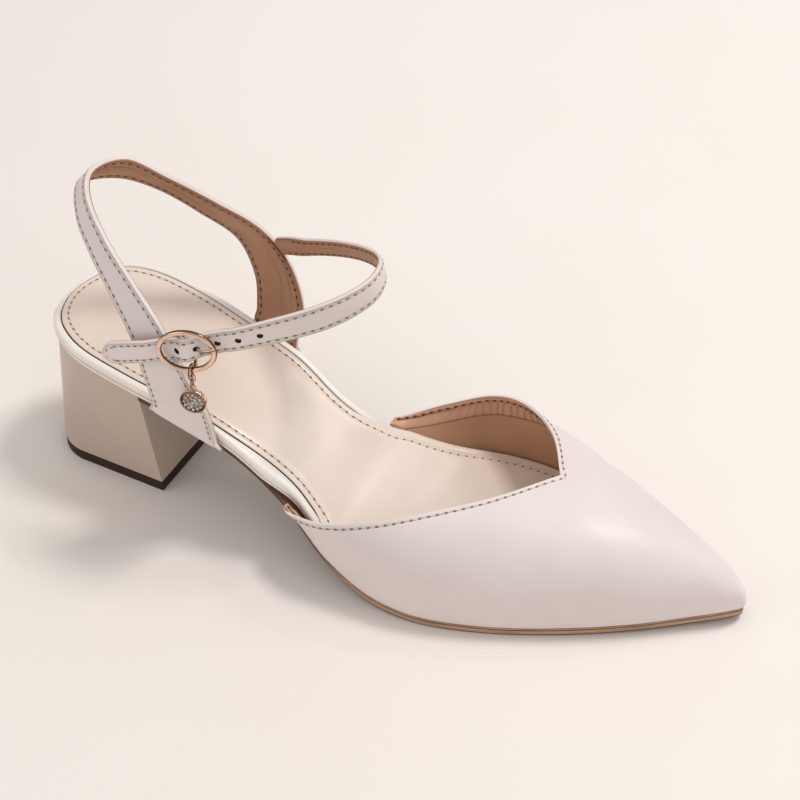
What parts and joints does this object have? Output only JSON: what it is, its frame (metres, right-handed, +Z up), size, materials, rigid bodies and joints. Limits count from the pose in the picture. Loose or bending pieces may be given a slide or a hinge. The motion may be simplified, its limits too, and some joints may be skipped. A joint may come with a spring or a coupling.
{
  "type": "block heel sandal",
  "caption": "Right-foot slingback sandal with a pointed closed toe, a leather-covered block heel, a buckled ankle strap and a small round charm on a chain.",
  "frame": {"origin": "on the floor plane under the middle of the shoe's bounding box", "axes": "+X from the heel to the toe, +Y to the wearer's left (this right shoe's inner side), +Z up from the floor"},
  "size_m": [0.2452, 0.0816, 0.112],
  "materials": {
    "upper_leather": "smooth pale pinkish cream, soft sheen",
    "rim_leather": "smooth cream white, wrapped edge",
    "sock_leather": "smooth cream beige, glossy",
    "heel_leather": "smooth beige, stretched over the block",
    "sole_rubber": "brown, satin",
    "rose_gold": "polished, rose gold plated"
  },
  "bodies": {
    "shoe": {"outsole": "sole_rubber", "insole_board": "rim_leather", "sock": "sock_leather", "heel_block": "heel_leather", "heel_lift": "sole_rubber", "vamp": "upper_leather", "straps": "upper_leather", "buckle_frame": "rose_gold", "buckle_prong": "rose_gold"},
    "chain": {"chain_ring": "rose_gold", "chain_link_1": "rose_gold", "chain_link_2": "rose_gold"},
    "charm": {"charm": "rose_gold"}
  },
  "joints": [
    {"name": "chain_swing", "type": "hinge", "parent": "shoe", "child": "chain", "pos_m": [-0.04855, -0.03707, 0.07545], "axis": [-0.9687, -0.2481, 0], "range_deg": [0, 110]},
    {"name": "charm_swing", "type": "hinge", "parent": "chain", "child": "charm", "pos_m": [-0.0484, -0.03764, 0.06872], "axis": [0.2401, -0.9668, 0.0872], "range_deg": [-60, 60]}
  ]
}
